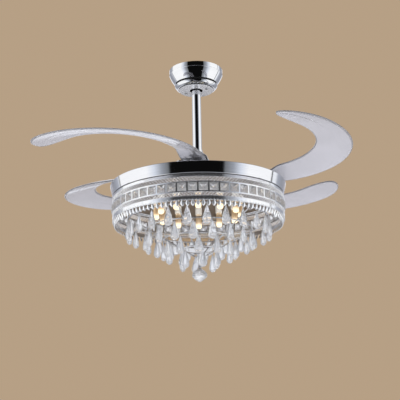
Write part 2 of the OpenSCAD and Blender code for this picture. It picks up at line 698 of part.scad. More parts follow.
function blade_z(a) = blade_root_z + blade_t / 2 + leaves_pad(a) * (2.5 + blade_rise * pow(blade_s(a), 1.4));
function blade_point(a, j, side) =
    let (
        w = body_w(a) * tip_k(a),
        u = section_u[j] * w,
        half = side * section_t[j] * blade_t / 2,
        crown = leaves_pad(a) * blade_crown * (1 - 4 * section_u[j] * section_u[j]) * tip_k(a),
        lift = half + crown,
        p = blade_pitch(a),
        r = blade_r + u * cos(p) + lift * sin(p))
    [r * cos(-a) - pivot_r, r * sin(-a), blade_z(a) - u * sin(p) + lift * cos(p)];
section_n = 2 * len(section_u);
function blade_ring(a) = concat(
    [for (j = [0:len(section_u) - 1]) blade_point(a, j, 1)],
    [for (j = [len(section_u) - 1:-1:0]) blade_point(a, j, -1)]);

module blade_sheet() polyhedron(
    points = [for (i = [0:blade_stations]) each blade_ring(station_a(i))],
    faces = concat(
        [[for (j = [section_n - 1:-1:0]) j]],
        [for (i = [0:blade_stations - 1], j = [0:section_n - 1], half = [0, 1])
            let (a = i * section_n + j, b = i * section_n + (j + 1) % section_n)
            half == 0 ? [a, b, a + section_n] : [b, b + section_n, a + section_n]],
        [[for (j = [0:section_n - 1]) blade_stations * section_n + j]]));

module blade_sheet_cut() difference() {
    blade_sheet();
    translate([0, 0, arm_z]) cylinder(r = hub_r - 1, h = 40, $fn = 48);
    for (p = screw_places) translate([p[0], p[1], arm_z]) cylinder(r = screw_r + running, h = 40, $fn = 24);
}
module blade_1() color("lavender", 0.5) at_blade(0) blade_sheet_cut();
module blade_2() color("lavender", 0.5) at_blade(1) blade_sheet_cut();
module blade_3() color("lavender", 0.5) at_blade(2) blade_sheet_cut();
module blade_4() color("lavender", 0.5) at_blade(3) blade_sheet_cut();

// ---------------------------------------------------------------- lamp body

pan_screw_r = pan_r - 6;
pan_screw_n = 6;
ledge_z = pan_top - pan_t;

module lamp_pan() color("silver") at_lamp() difference() {
    union() {
        translate([0, 0, ledge_z]) cylinder(r = pan_r, h = pan_t);
        translate([0, 0, ledge_z - 3]) cylinder(r = 40, h = 3 + eps);
    }
    translate([0, 0, ledge_z - 4]) cylinder(r = shaft_r + running, h = 20);
    around(pan_screw_n) translate([pan_screw_r, 0, ledge_z - 1]) cylinder(r = 2 + running, h = pan_t + 2, $fn = 24);
}

module shaft_nut() color("gray") at_lamp() translate([0, 0, ledge_z - 13]) difference() {
    cylinder(r = shaft_r + 8, h = 10, $fn = 6);
    translate([0, 0, -1]) cylinder(r = shaft_r + 0.02, h = 12);
}

module pan_screws() color("gray") at_lamp() around(pan_screw_n) translate([pan_screw_r, 0, ledge_z - ring_t]) {
    cylinder(r = 2, h = pan_t + ring_t, $fn = 24);
    translate([0, 0, pan_t + ring_t]) cylinder(r = 4, h = 2, $fn = 32);
}

module polished_ring() color("silver") at_lamp() difference() {
    rotate_extrude($fn = 180) polygon(concat(
        [[ring_r - 4, ring_h - 1.5], [ring_r - 4, ring_h], [ring_r - 1, ring_h], [ring_r, ring_h - 1]],
        bezier([ring_foot_r + 1.5, 5], [ring_foot_r + 0.4, 0.4], [ring_foot_r - 3, 0], 6),
        [[flange_r, 0], [flange_r, ring_t], [ring_foot_r - 3, ring_t], [ring_foot_r - 0.6, 5]],
        [[ring_foot_r - 0.6 + (ledge_z - ring_t - 5) * ring_slope, ledge_z - ring_t],
         [pan_screw_r - 5, ledge_z - ring_t], [pan_screw_r - 5, ledge_z],
         [ring_foot_r - 0.6 + (ledge_z - 5) * ring_slope, ledge_z],
         [ring_r - ring_t, ring_h - 1.5]]));
    around(pan_screw_n) translate([pan_screw_r, 0, ledge_z - ring_t - 1])
        cylinder(r = 2 + running, h = ring_t + 2, $fn = 24);
}
ring_slope = (ring_r - ring_foot_r - 1.5) / (ring_h - 6);

// One hole of the lattice: a diamond cut through the band.
module diamonds(n, z, w, h) around(n) translate([band_r - 4, 0, z]) rotate([0, 90, 0])
    linear_extrude(8) polygon([[-h / 2, 0], [0, w / 2], [h / 2, 0], [0, -w / 2]]);

diamond_n = stone_n * diamonds_per_stone;
diamond_w = 2 * PI * band_r / diamond_n * 0.72;

module upper_band() color("silver") at_lamp() difference() {
    union() {
        translate([0, 0, -1]) tube(neck_r, flange_r, 1);
        translate([0, 0, -2.5]) tube(band_r, flange_r, 1.5);
        translate([0, 0, -upper_band_h]) tube(band_r, band_r - band_t, upper_band_h - 2);
    }
    diamonds(diamond_n, -upper_band_h * 0.7, diamond_w, upper_band_h * 0.4);
}

module stone_band() color("silver") at_lamp() difference() {
    translate([0, 0, lower_z]) tube(band_r, band_r - band_t, stone_band_h);
    around(stone_n) translate([band_r - 4, -stone_w / 2, stone_z - stone_h / 2]) cube([8, stone_w, stone_h]);
}

// A square stone: straight sides through its window, then four bevels up to a small table.
stone_back = band_r - 7;
stone_girdle = band_r * cos(180 / stone_n) + 0.4;
module square_stone() {
    w = stone_w / 2 - 0.1;
    h = stone_h / 2;
    t = 4;
    levels = [[stone_back, w, h], [stone_girdle, w, h], [band_r + stone_out, t, t]];
    polyhedron(
        points = [for (l = levels) each [[l[0], -l[1], -l[2]], [l[0], l[1], -l[2]], [l[0], l[1], l[2]],
            [l[0], -l[1], l[2]]]],
        faces = concat([[0, 3, 2, 1]],
            [for (k = [0, 1], j = [0:3]) let (a = 4 * k + j, b = 4 * k + (j + 1) % 4) [a, b, b + 4, a + 4]],
            [[8, 9, 10, 11]]));
}
module square_stones() color("aliceblue") at_lamp() around(stone_n) translate([0, 0, stone_z]) square_stone();

module lower_band() color("silver") at_lamp() difference() {
    translate([0, 0, fringe_z]) tube(band_r, band_r - band_t, lower_band_h);
    diamonds(diamond_n, lower_z - lower_band_h * 0.28, diamond_w, lower_band_h * 0.38);
}

// A petal of the fringe hangs from the band by its narrow neck.
petal_n = stone_n * petals_per_stone;
petal_w = 2 * PI * band_r / petal_n * 0.66;
petal_outline = [[0.18, 0], [0.18, -0.14], [0.42, -0.4], [0.5, -0.58], [0.3, -0.85], [0, -1]];
module petal_2d() polygon(concat(
    [for (p = petal_outline) [p[0] * petal_w, p[1] * fringe_h]],
    [for (p = reversed(petal_outline)) if (p[0] > 0) [-p[0] * petal_w, p[1] * fringe_h]]));
module petal_fringe() color("silver") at_lamp() {
    translate([0, 0, fringe_z - 1.5]) tube(band_r, band_r - band_t, 1.5);
    around(petal_n) translate([band_r - band_t, 0, fringe_z - 1]) rotate([90, 0, 90])
        linear_extrude(band_t * 0.8) petal_2d();
}

plate_z = ring_t;
module lamp_plate() color("white") at_lamp() difference() {
    union() {
        translate([0, 0, plate_z]) cylinder(r = plate_r, h = pan_t);
        around(frame_ribs, rib_phase) translate([tier_r(0), 0, plate_z - 4]) cylinder(r = 5, h = 4 + eps, $fn = 32);
    }
    translate([0, 0, plate_z - 1]) cylinder(r = 16, h = pan_t + 2);
    around(bulb_n) translate([bulb_r, 0, plate_z - 1]) cylinder(r = 6, h = pan_t + 2, $fn = 32);
    around(frame_ribs, rib_phase) translate([tier_r(0), 0, plate_z - 5])
        cylinder(r = hanger_r + running, h = pan_t + 8, $fn = 32);
}

module lamp_sockets() color("whitesmoke") at_lamp() around(bulb_n)
    translate([bulb_r, 0, plate_z - socket_h]) difference() {
        union() {
            cylinder(r = 10, h = socket_h);
            translate([0, 0, socket_h]) cylinder(r = 6 - running, h = pan_t + 1, $fn = 32);
        }
        translate([0, 0, -1]) cylinder(r = bulb_d / 2 - 2 + running, h = 9);
    }

module lamp_bulbs() color("moccasin") at_lamp() around(bulb_n) translate([bulb_r, 0, plate_z - socket_h]) {
    r = bulb_d / 2;
    rotate_extrude() polygon(concat([[0, 6], [r - 2, 6], [r - 2, -1], [r, -4]],
        [[r, 6 - bulb_len]], bezier([r, 5 - bulb_len], [r, -bulb_len], [0, -bulb_len - 1], 6)));
}

box_x = 120;
box_y = 44;
box_h = 16;
module driver_box() color("white") at_lamp() translate([-box_x / 2, 48, plate_z + pan_t]) {
    cube([box_x, box_y, box_h]);
    for (x = [-6, box_x]) translate([x, box_y / 2, box_h / 2]) rotate([0, 90, 0]) cylinder(r = 4, h = 6, $fn = 32);
}

// ---------------------------------------------------------------- hanging crystals

frame_ribs = 6;
rib_phase = 14;
wire_r = frame_wire / 2;
hanger_r = wire_r * 0.9;
rib_r = wire_r * 0.8;
frame_lug_r = 4.5;
frame_lug_h = 10;
hanger_nut_r = 4;
hanger_nut_h = 3;
seat = 0.05;
hanger_play = 0.2;
hook_r = 0.9;
frame_hub_r = 8;
frame_hub_h = 20;
rib_foot = tier_n - (frame_hub_r - 3) / tier_r_step;

module rod_between(p, q, r) {
    d = q - p;
    translate(p) rotate([0, acos(d[2] / norm(d)), atan2(d[1], d[0])]) cylinder(r = r, h = norm(d), $fn = 24);
}

// Rings on six spokes. Lugs on the outer ring take the hangers.
module crystal_basket() {
    for (i = [0:tier_n - 1]) {
        translate([0, 0, tier_z(i)]) rotate_extrude() translate([tier_r(i), 0]) circle(r = wire_r, $fn = 32);
        around(tier_count(i), tier_phase[i] - 90) translate([tier_r(i), 0, tier_z(i) - hook_len])
            cylinder(r = hook_r, h = hook_len, $fn = 24);
    }
    around(frame_ribs, rib_phase) {
        translate([tier_r(0), 0, tier_z(0) - frame_lug_h / 2]) cylinder(r = frame_lug_r, h = frame_lug_h, $fn = 32);
        rod_between([tier_r(0), 0, tier_z(0)], [tier_r(rib_foot), 0, tier_z(rib_foot)], rib_r);
    }
    difference() {
        union() {
            translate([0, 0, finial_eye_z + 7]) cylinder(r = frame_hub_r, h = frame_hub_h, $fn = 48);
            translate([-1, -4, finial_eye_z]) cube([2, 8, 8]);
            translate([-1, 0, finial_eye_z]) rotate([0, 90, 0]) cylinder(r = 4, h = 2, $fn = 32);
        }
        translate([-2, 0, finial_eye_z]) rotate([0, 90, 0]) cylinder(r = 1.5 + running, h = 4, $fn = 32);
    }
}

// A hanger is a rod with a nut on the lamp plate and another under the outer ring's lug.
module frame_hanger() {
    foot = tier_z(0) - frame_lug_h / 2 - hanger_play - hanger_nut_h;
    translate([0, 0, foot]) cylinder(r = hanger_r, h = plate_z + pan_t + hanger_nut_h - foot, $fn = 32);
    for (z = [foot, plate_z + pan_t]) translate([0, 0, z]) cylinder(r = hanger_nut_r, h = hanger_nut_h, $fn = 32);
}

module crystal_frame() color("silver") at_lamp() {
    difference() {
        crystal_basket();
        around(frame_ribs, rib_phase) translate([tier_r(0), 0, tier_z(0) - frame_lug_h])
            cylinder(r = hanger_r + hanger_play, h = 2 * frame_lug_h, $fn = 32);
    }
    around(frame_ribs, rib_phase) translate([tier_r(0), 0, 0]) frame_hanger();
}

// A drop is cut with eight sides: a narrow shoulder, a full belly and a pointed foot.
drop_profile = [[0, 0], [0.1, -0.02], [0.3, -0.34], [0.5, -0.72], [0.36, -0.93], [0, -1]];
module drop() rotate_extrude($fn = 8)
    polygon([for (p = drop_profile) [p[0] * drop_w, p[1] * drop_len]]);

module drops_tier(i) color("aliceblue") at_lamp() around(tier_count(i), tier_phase[i] - 90)
    translate([tier_r(i), 0, tier_z(i) - hook_len - seat]) drop();
module drops_tier_1() drops_tier(0);
module drops_tier_2() drops_tier(1);
module drops_tier_3() drops_tier(2);
module drops_tier_4() drops_tier(3);

// The ball hangs on a small pin through the frame's eye and can swing a little.
module finial_cap() color("silver") at_lamp() translate([0, 0, finial_eye_z]) {
    rotate([0, 90, 0]) translate([0, 0, -4]) cylinder(r = 1.5, h = 8, $fn = 32);
    for (s = [-1, 1]) translate([s * 2.6 - 1.2, -4, -8]) cube([2.4, 8, 10]);
    translate([0, 0, -10]) cylinder(r1 = 8, r2 = 5, h = 4, $fn = 48);
}

finial_profile = [[0, 0], [0.22, -0.04], [0.44, -0.2], [0.5, -0.4], [0.34, -0.74], [0, -1]];
module finial_ball() color("aliceblue") at_lamp() translate([0, 0, finial_eye_z - 10])
    rotate_extrude($fn = 10) polygon([for (p = finial_profile) [p[0] * finial_d, p[1] * finial_d * 0.92]]);

// ---------------------------------------------------------------- what is drawn

hanger_bracket();
canopy_bowl();
canopy_cover();
canopy_screws();
hanger_ball();
rod_pins();
down_rod();
coupling_cover();
coupling_sleeve();
motor_shaft();
stator_core();
stator_coils();
motor_housing_lower();
motor_housing_upper();
magnet_ring();
motor_bearings();
motor_screws();
blade_carrier();
carrier_screws();
pivot_pins();
pivot_nuts();
return_springs();
stop_studs();
sync_ring_gear();
blade_gear_1();
blade_gear_2();
blade_gear_3();
blade_gear_4();
blade_arm_1();
blade_arm_2();
blade_arm_3();
blade_arm_4();
blade_screws_1();
blade_screws_2();
blade_screws_3();
blade_screws_4();
blade_1();
blade_2();
blade_3();
blade_4();
lamp_pan();
shaft_nut();
pan_screws();
polished_ring();
upper_band();
stone_band();
square_stones();
lower_band();
petal_fringe();
lamp_plate();
lamp_sockets();
lamp_bulbs();
driver_box();
crystal_frame();
drops_tier_1();
drops_tier_2();
drops_tier_3();
drops_tier_4();
finial_cap();
finial_ball();
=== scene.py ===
"""Looks of the crystal ceiling fan: its canopy, lamp and clear blades, finishes, studio and camera.

Lengths are in millimetres until a mesh is made. The lamp's and blades' heights are measured from the lower
edge of the lamp's polished ring, as in the part's own source. Angles are in degrees.
"""
import json
import math

import bmesh
import bpy
import numpy as np
from mathutils import Matrix, Vector


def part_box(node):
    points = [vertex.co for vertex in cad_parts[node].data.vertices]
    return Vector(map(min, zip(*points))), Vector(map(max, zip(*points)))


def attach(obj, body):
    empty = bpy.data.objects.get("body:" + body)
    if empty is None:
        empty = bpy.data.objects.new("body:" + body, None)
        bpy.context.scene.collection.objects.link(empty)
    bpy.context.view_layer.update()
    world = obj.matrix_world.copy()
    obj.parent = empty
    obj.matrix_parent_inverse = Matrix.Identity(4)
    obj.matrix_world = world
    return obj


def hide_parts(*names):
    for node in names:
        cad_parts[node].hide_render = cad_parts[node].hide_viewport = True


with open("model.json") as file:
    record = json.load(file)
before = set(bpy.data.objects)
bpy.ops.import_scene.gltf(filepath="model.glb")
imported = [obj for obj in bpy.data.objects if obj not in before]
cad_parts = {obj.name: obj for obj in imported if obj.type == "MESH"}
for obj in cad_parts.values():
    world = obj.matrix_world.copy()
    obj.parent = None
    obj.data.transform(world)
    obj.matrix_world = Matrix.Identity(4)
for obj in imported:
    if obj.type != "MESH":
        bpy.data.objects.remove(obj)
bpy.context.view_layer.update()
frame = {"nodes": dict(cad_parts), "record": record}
nodes = frame["nodes"]

MM = 0.001
LAMP_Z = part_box("polished_ring")[0].z / MM

# ---------------------------------------------------------------- mesh helpers


def added(name, data):
    """A new object in the scene."""
    obj = bpy.data.objects.new(name, data)
    bpy.context.scene.collection.objects.link(obj)
    return obj


def mesh_object(name, verts, faces):
    """A new mesh object, its points given in millimetres."""
    mesh = bpy.data.meshes.new(name)
    mesh.from_pydata([tuple(v) for v in np.asarray(verts, float) * MM], [], [tuple(f) for f in faces])
    return added(name, mesh)


def piece(name, verts, faces, material, body, slot, replaces, smooth=True, sharp=None):
    """A mesh that rides on a body, faces turned outwards; sharp is the angle past which edges stay crisp."""
    obj = mesh_object(name, verts, faces)
    mesh = obj.data
    mesh.validate()
    outward = bmesh.new()
    outward.from_mesh(mesh)
    bmesh.ops.recalc_face_normals(outward, faces=outward.faces)
    outward.to_mesh(mesh)
    outward.free()
    mesh.materials.append(material)
    mesh.polygons.foreach_set("use_smooth", [smooth] * len(mesh.polygons))
    if sharp is not None:
        mesh.set_sharp_from_angle(angle=math.radians(sharp))
    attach(obj, body)
    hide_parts(*replaces)


def lamp_piece(name, part, material, slot, node, sharp):
    """A piece of the lamp, its heights given from the polished ring's lower edge."""
    verts, faces = part
    piece(name, verts + [0, 0, LAMP_Z], faces, material, "stem", slot, [node], sharp=sharp)


def turned(verts, angle):
    """Points turned about the fan's axis."""
    c, s = math.cos(math.radians(angle)), math.sin(math.radians(angle))
    v = np.asarray(verts, float)
    return np.stack([v[:, 0] * c - v[:, 1] * s, v[:, 0] * s + v[:, 1] * c, v[:, 2]], 1)


def joined(parts):
    """One list of points and faces from several."""
    verts, faces, base = [], [], 0
    for v, f in parts:
        verts.append(np.asarray(v, float))
        faces += [[i + base for i in face] for face in f]
        base += len(v)
    return np.vstack(verts), faces


def around(part, n, phase=0.0):
    """n copies of a part about the fan's axis."""
    verts, faces = part
    return joined([(turned(verts, phase + 360.0 * i / n), faces) for i in range(n)])


def grid_faces(rows, cols, close_rows=False, close_cols=False):
    """Quads between the points of a grid whose rows follow each other in the list."""
    faces = []
    for i in range(rows if close_rows else rows - 1):
        for j in range(cols if close_cols else cols - 1):
            a, b = i % rows, (i + 1) % rows
            c, d = j % cols, (j + 1) % cols
            faces.append([a * cols + c, b * cols + c, b * cols + d, a * cols + d])
    return faces


def block(inner, foot, outer, top):
    """A rectangular outline between two radii and two heights, for lathe."""
    return [(inner, foot), (outer, foot), (outer, top), (inner, top)]


def lathe(profile, steps=192):
    """A closed outline of (radius, height) turned about the axis."""
    a = np.radians(np.arange(steps) * 360.0 / steps)
    p = np.asarray(profile, float)
    verts = np.stack([np.outer(np.cos(a), p[:, 0]), np.outer(np.sin(a), p[:, 0]),
                      np.outer(np.ones(steps), p[:, 1])], 2).reshape(-1, 3)
    return verts, [f[::-1] for f in grid_faces(steps, len(p), True, True)]


def bezier(p0, p1, p2, n):
    """n points along a quadratic curve."""
    return [tuple((1 - t) ** 2 * np.array(p0) + 2 * t * (1 - t) * np.array(p1) + t * t * np.array(p2))
            for t in np.linspace(0, 1, n)]


def tube_along(points, r, sides=8, closed=False):
    """A round bar along points, its section kept square to the way it runs."""
    pts = np.asarray(points, float)
    n = len(pts)
    ahead = np.roll(pts, -1, 0) - np.roll(pts, 1, 0)
    if not closed:
        ahead[0], ahead[-1] = pts[1] - pts[0], pts[-1] - pts[-2]
    ahead /= np.linalg.norm(ahead, axis=1)[:, None]
    up = np.array([0, 0, 1.0]) if abs(ahead[:, 2]).max() < 0.95 else np.array([1.0, 0, 0])
    side = np.cross(ahead, up)
    side /= np.linalg.norm(side, axis=1)[:, None]
    top = np.cross(side, ahead)
    a = np.radians(np.arange(sides) * 360.0 / sides)
    round_it = np.cos(a)[None, :, None] * side[:, None] + np.sin(a)[None, :, None] * top[:, None]
    verts = pts[:, None] + r * round_it
    faces = grid_faces(n, sides, closed, True)
    if not closed:
        faces += [list(range(sides))[::-1], [(n - 1) * sides + k for k in range(sides)]]
    return verts.reshape(-1, 3), faces


def ball(r):
    """A small bead, with its poles up and down."""
    rings, sides = 6, 10
    verts, faces = [(0, 0, r)], []
    for i in range(1, rings):
        a = math.pi * i / rings
        verts += [(r * math.sin(a) * math.cos(b), r * math.sin(a) * math.sin(b), r * math.cos(a))
                  for b in np.radians(np.arange(sides) * 360.0 / sides)]
    verts.append((0, 0, -r))
    last = len(verts) - 1
    for j in range(sides):
        k = (j + 1) % sides
        faces.append([0, 1 + j, 1 + k])
        faces += [[1 + i * sides + j, 1 + (i + 1) * sides + j, 1 + (i + 1) * sides + k, 1 + i * sides + k]
                  for i in range(rings - 2)]
        faces.append([1 + (rings - 2) * sides + j, last, 1 + (rings - 2) * sides + k])
    return np.array(verts, float), faces


# ---------------------------------------------------------------- materials


class Nodes:
    """Shorthand for building a node tree."""

    def __init__(self, owner):
        owner.use_nodes = True
        self.tree = owner.node_tree
        self.tree.nodes.clear()

    def node(self, kind, **settings):
        n = self.tree.nodes.new(kind)
        for key, value in settings.items():
            setattr(n, key, value)
        return n

    def link(self, a, b):
        self.tree.links.new(a, b)

    def ramp(self, fac, stops):
        """A colour ramp: stops are (place, colour)."""
        r = self.node("ShaderNodeValToRGB")
        els = r.color_ramp.elements
        while len(els) < len(stops):
            els.new(0.5)
        for e, (place, colour) in zip(els, stops):
            e.position = place
            e.color = (*colour, 1.0)
        self.link(fac, r.inputs[0])
        return r.outputs[0]


class Paint(Nodes):
    """A Principled material whose colour, roughness and bump come from noise."""

    def __init__(self, name):
        self.material = bpy.data.materials.new(name)
        super().__init__(self.material)
        out = self.node("ShaderNodeOutputMaterial")
        self.bsdf = self.node("ShaderNodeBsdfPrincipled")
        self.link(self.bsdf.outputs[0], out.inputs[0])
        self.coords = self.node("ShaderNodeTexCoord")

    def noise(self, scale, detail, stretch=(1, 1, 1)):
        """A grain fixed to the object, squeezed along each axis by stretch."""
        mapping = self.node("ShaderNodeMapping")
        mapping.inputs["Scale"].default_value = stretch
        self.link(self.coords.outputs["Object"], mapping.inputs["Vector"])
        n = self.node("ShaderNodeTexNoise")
        n.inputs["Scale"].default_value = scale
        n.inputs["Detail"].default_value = detail
        self.link(mapping.outputs[0], n.inputs["Vector"])
        return n.outputs["Fac"]

    def spread(self, fac, low, high):
        """The middle of a noise stretched over a range of values."""
        m = self.node("ShaderNodeMapRange")
        m.inputs["From Min"].default_value = 0.3
        m.inputs["From Max"].default_value = 0.7
        m.inputs["To Min"].default_value = low
        m.inputs["To Max"].default_value = high
        self.link(fac, m.inputs["Value"])
        return m.outputs[0]

    def bump(self, fac, depth):
        """A relief; depth is in metres."""
        b = self.node("ShaderNodeBump")
        b.inputs["Strength"].default_value = 1.0
        b.inputs["Distance"].default_value = depth
        self.link(fac, b.inputs["Height"])
        self.link(b.outputs[0], self.bsdf.inputs["Normal"])

    def set(self, **values):
        """Values for the shader's own sockets, with _ for each space in a name."""
        for key, value in values.items():
            self.bsdf.inputs[key.replace("_", " ")].default_value = value


def grey(value):
    """A neutral colour."""
    return value, value, value


def tinted(name, dark, light, rough, scale, stretch=(1, 1, 1), metallic=0.0, depth=0.0, **values):
    """The common finish: two close colours and a relief from one grain, roughness from a finer one."""
    p = Paint(name)
    detail = 4.0
    fac = p.noise(scale, detail, stretch)
    p.link(p.ramp(fac, [(0.3, dark), (0.7, light)]), p.bsdf.inputs["Base Color"])
    p.link(p.spread(p.noise(scale * 2.3, detail, stretch), *rough), p.bsdf.inputs["Roughness"])
    if depth:
        p.bump(fac, depth)
    p.bsdf.inputs["Metallic"].default_value = metallic
    p.set(**values)
    return p.material


chrome = tinted("chrome", (0.80, 0.81, 0.83), (0.88, 0.89, 0.91), (0.015, 0.05), scale=9.0,
                stretch=(1, 1, 60), metallic=1.0, depth=0.00001)
brushed = tinted("ring_chrome", (0.78, 0.79, 0.82), (0.88, 0.89, 0.92), (0.04, 0.10), scale=6.0,
                 stretch=(1, 1, 220), metallic=1.0, depth=0.00002)
pierced = tinted("pierced_chrome", (0.80, 0.81, 0.84), (0.92, 0.93, 0.95), (0.08, 0.18), scale=160.0,
                 metallic=0.96, depth=0.00006)
lattice_metal = tinted("lattice_metal", (0.90, 0.91, 0.93), (0.98, 0.98, 1.0), (0.12, 0.25), scale=160.0,
                       metallic=0.86, depth=0.00004)
petal_metal = tinted("petal_metal", (0.84, 0.85, 0.87), (0.94, 0.95, 0.97), (0.08, 0.18), scale=160.0,
                     metallic=0.85, depth=0.00004)
# dark brown lamp plate: painted shade, so the lamp's inside reads dark between the crystals and through the
# lattice
plate_painted_shade = tinted("plate_painted_shade", (0.095, 0.070, 0.048), (0.140, 0.106, 0.075), (0.40, 0.55), scale=40.0,
                    depth=0.00003, Specular_IOR_Level=0.1)
zinc = tinted("zinc_steel", (0.50, 0.51, 0.52), (0.66, 0.67, 0.68), (0.28, 0.45), scale=45.0, metallic=1.0,
              depth=0.00005)
dark_steel = tinted("dark_steel", (0.10, 0.10, 0.11), (0.17, 0.17, 0.18), (0.3, 0.5), scale=80.0,
                    metallic=1.0, depth=0.00004)
bearing = tinted("bearing_steel", (0.60, 0.61, 0.64), (0.72, 0.73, 0.76), (0.12, 0.22), scale=70.0,
                 metallic=1.0)
electrical = tinted("electrical_steel", (0.16, 0.17, 0.19), (0.26, 0.27, 0.29), (0.35, 0.5), scale=20.0,
                    stretch=(1, 1, 120), metallic=1.0, depth=0.00008)
copper = tinted("copper", (0.62, 0.24, 0.11), (0.80, 0.36, 0.18), (0.2, 0.35), scale=30.0, stretch=(8, 8, 60),
                metallic=1.0, depth=0.0001)
housing = tinted("housing", (0.70, 0.71, 0.73), (0.80, 0.81, 0.83), (0.16, 0.28), scale=120.0, metallic=1.0,
                 depth=0.00003)
nylon = tinted("nylon", (0.62, 0.55, 0.38), (0.74, 0.67, 0.50), (0.35, 0.5), scale=70.0, depth=0.00004)
disc_metal = tinted("sprayed_disc", (0.50, 0.51, 0.54), (0.88, 0.89, 0.92), (0.10, 0.22), scale=260.0,
                    metallic=0.35, depth=0.00003)
# near-black: painted shade, laid into gaps, grooves and holes where only shadow falls
painted_gap_shade = tinted("painted_gap_shade", grey(0.006), grey(0.012), (0.6, 0.8), scale=90.0)
ceramic = tinted("socket_ceramic", (0.80, 0.77, 0.70), (0.88, 0.86, 0.80), (0.2, 0.32), scale=90.0,
                 depth=0.00002)
box_plastic = tinted("box_plastic", grey(0.66), grey(0.76), (0.4, 0.55), scale=200.0, depth=0.00003)


def clear(name, tint, rough, ior, scale, grain=(0.94, 1.0), **values):
    """Glass or acrylic: a clear body with faint streaks in its colour and polish."""
    p = Paint(name)
    fac = p.noise(scale, 2.0)
    low, high = (tuple(c * g for c in tint) for g in grain)
    p.link(p.ramp(fac, [(0.35, low), (0.65, high)]), p.bsdf.inputs["Base Color"])
    p.link(p.spread(p.noise(scale * 1.7, 2.0), *rough), p.bsdf.inputs["Roughness"])
    p.set(**{"Transmission_Weight": 1.0, "IOR": ior, **values})
    return p


crystal = clear("crystal", (1.0, 1.0, 1.0), (0.0, 0.02), 1.56, 40.0, grain=(0.97, 1.0),
                Transmission_Weight=0.84).material
drop_crystal = clear("drop_crystal", (0.96, 0.975, 1.0), (0.0, 0.03), 1.55, 40.0, grain=(0.97, 1.0),
                     Transmission_Weight=0.77).material
acrylic = clear("clear_acrylic", (0.63, 0.62, 0.65), (0.03, 0.08), 1.49, 12.0,
                Transmission_Weight=0.75).material

# the colour of a bulb's glow, from its lower end (0) to its top (1)
BULB_GLOW = ((0.0, (1.0, 0.86, 0.64)), (0.22, (1.0, 0.82, 0.56)), (0.36, (0.20, 0.13, 0.07)),
             (1.0, (0.06, 0.04, 0.02)))


def lit_bulb():
    """Frosted glass that glows most at its lower end."""
    p = clear("bulb_glass", (0.86, 0.74, 0.56), (0.3, 0.4), 1.45, 30.0)
    foot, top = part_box("lamp_bulbs")
    height = p.node("ShaderNodeSeparateXYZ")
    p.link(p.coords.outputs["Object"], height.inputs[0])
    share = p.node("ShaderNodeMapRange")
    share.inputs["From Min"].default_value = foot.z
    share.inputs["From Max"].default_value = top.z
    p.link(height.outputs["Z"], share.inputs["Value"])
    p.link(p.ramp(share.outputs[0], BULB_GLOW), p.bsdf.inputs["Emission Color"])
    p.set(Emission_Strength=0.78)
    return p.material


bulb_glow = lit_bulb()

FINISHES = {
    "chrome": chrome, "pierced_chrome": pierced, "zinc_steel": zinc, "dark_steel": dark_steel,
    "electrical_steel": electrical, "copper": copper, "housing": housing, "bearing_steel": bearing,
    "nylon": nylon, "clear_acrylic": acrylic, "socket_ceramic": ceramic,
    "bulb_glass": bulb_glow, "box_plastic": box_plastic, "crystal": crystal,
}

SLOTS = {row["node"]: row["material_slot"] for row in frame["record"]["subparts"]}

for name, obj in nodes.items():
    obj.data.materials.clear()
    obj.data.materials.append(FINISHES[SLOTS[name]])
# the plate behind the bulbs gets the dark plate colour, painted shade for the lamp's dark inside
nodes["lamp_plate"].data.materials[0] = plate_painted_shade

# ---------------------------------------------------------------- canopy

CANOPY_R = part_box("canopy_bowl")[1].x / MM - 0.6
BOWL_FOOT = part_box("canopy_bowl")[0].z / MM
COVER_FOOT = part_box("canopy_cover")[0].z / MM
BOWL_FOOT_R, DISC_R, ROD_HOLE_R, SHEET = 62.5, 49.5, 19.0, 1.5
BEAD_UP, BEAD_R = -13.8, 0.9


def canopy_part(name, outline, material, node, steps=96):
    """A turned piece of the canopy."""
    piece(name, *lathe(outline, steps), material, "ceiling_mount", "chrome", [node], sharp=35)


